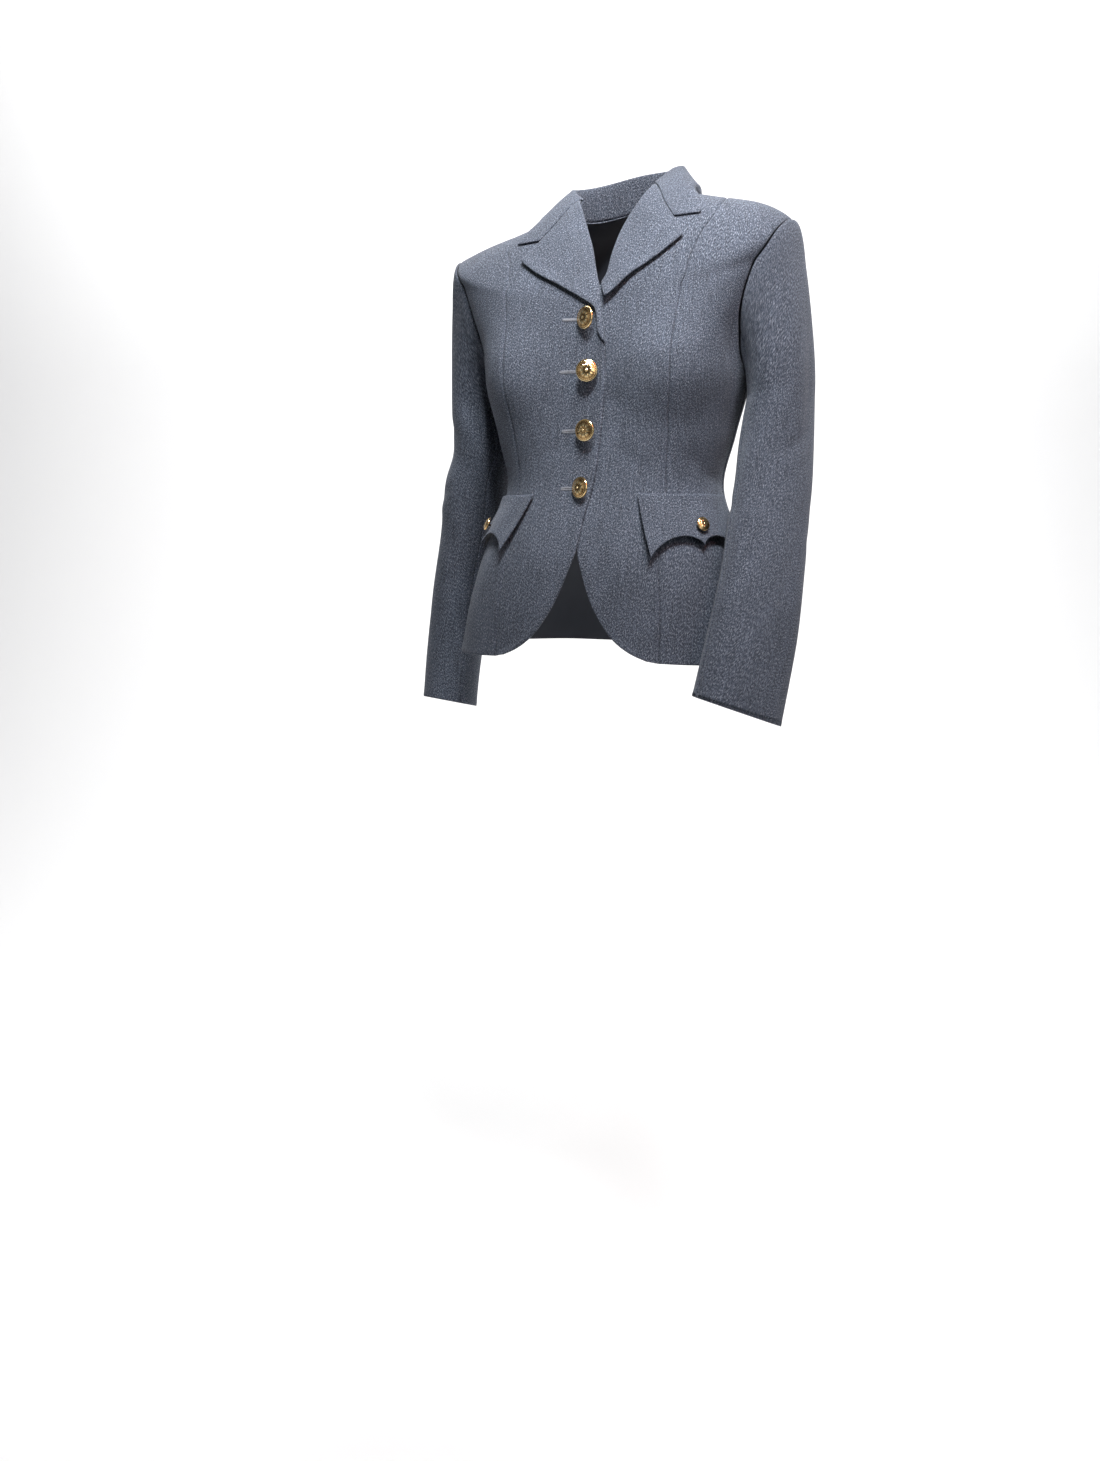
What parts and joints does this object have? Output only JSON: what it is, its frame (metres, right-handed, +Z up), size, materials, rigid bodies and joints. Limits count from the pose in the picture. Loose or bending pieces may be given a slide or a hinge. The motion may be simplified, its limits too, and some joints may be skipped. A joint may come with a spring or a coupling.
{
  "type": "uniform jacket",
  "caption": "Fitted single-breasted wool uniform jacket in its hollow worn form, with notched lapels, domed buttons, scalloped pocket flaps and a cutaway hem.",
  "frame": {"origin": "the middle of the neck, level with the points where the shoulder seams meet the collar", "axes": "+Z up along the back, -Y out of the buttoned front, +X to the wearer's left"},
  "size_m": [0.5334, 0.3127, 0.6726],
  "materials": {
    "wool_serge": "matt heather serge",
    "gilt_button": "polished gilt"
  },
  "bodies": {
    "root": {"front_right": "wool_serge", "front_left": "wool_serge", "side_front_right": "wool_serge", "side_front_left": "wool_serge", "back_right": "wool_serge", "back_left": "wool_serge", "lapel_right": "wool_serge", "lapel_left": "wool_serge", "collar": "wool_serge", "sleeve_upper_right": "wool_serge", "sleeve_upper_left": "wool_serge", "sleeve_under_right": "wool_serge", "sleeve_under_left": "wool_serge", "flap_right": "wool_serge", "flap_left": "wool_serge", "button_front_1": "gilt_button", "button_front_2": "gilt_button", "button_front_3": "gilt_button", "button_front_4": "gilt_button", "button_flap_right": "gilt_button", "button_flap_left": "gilt_button"}
  },
  "joints": []
}
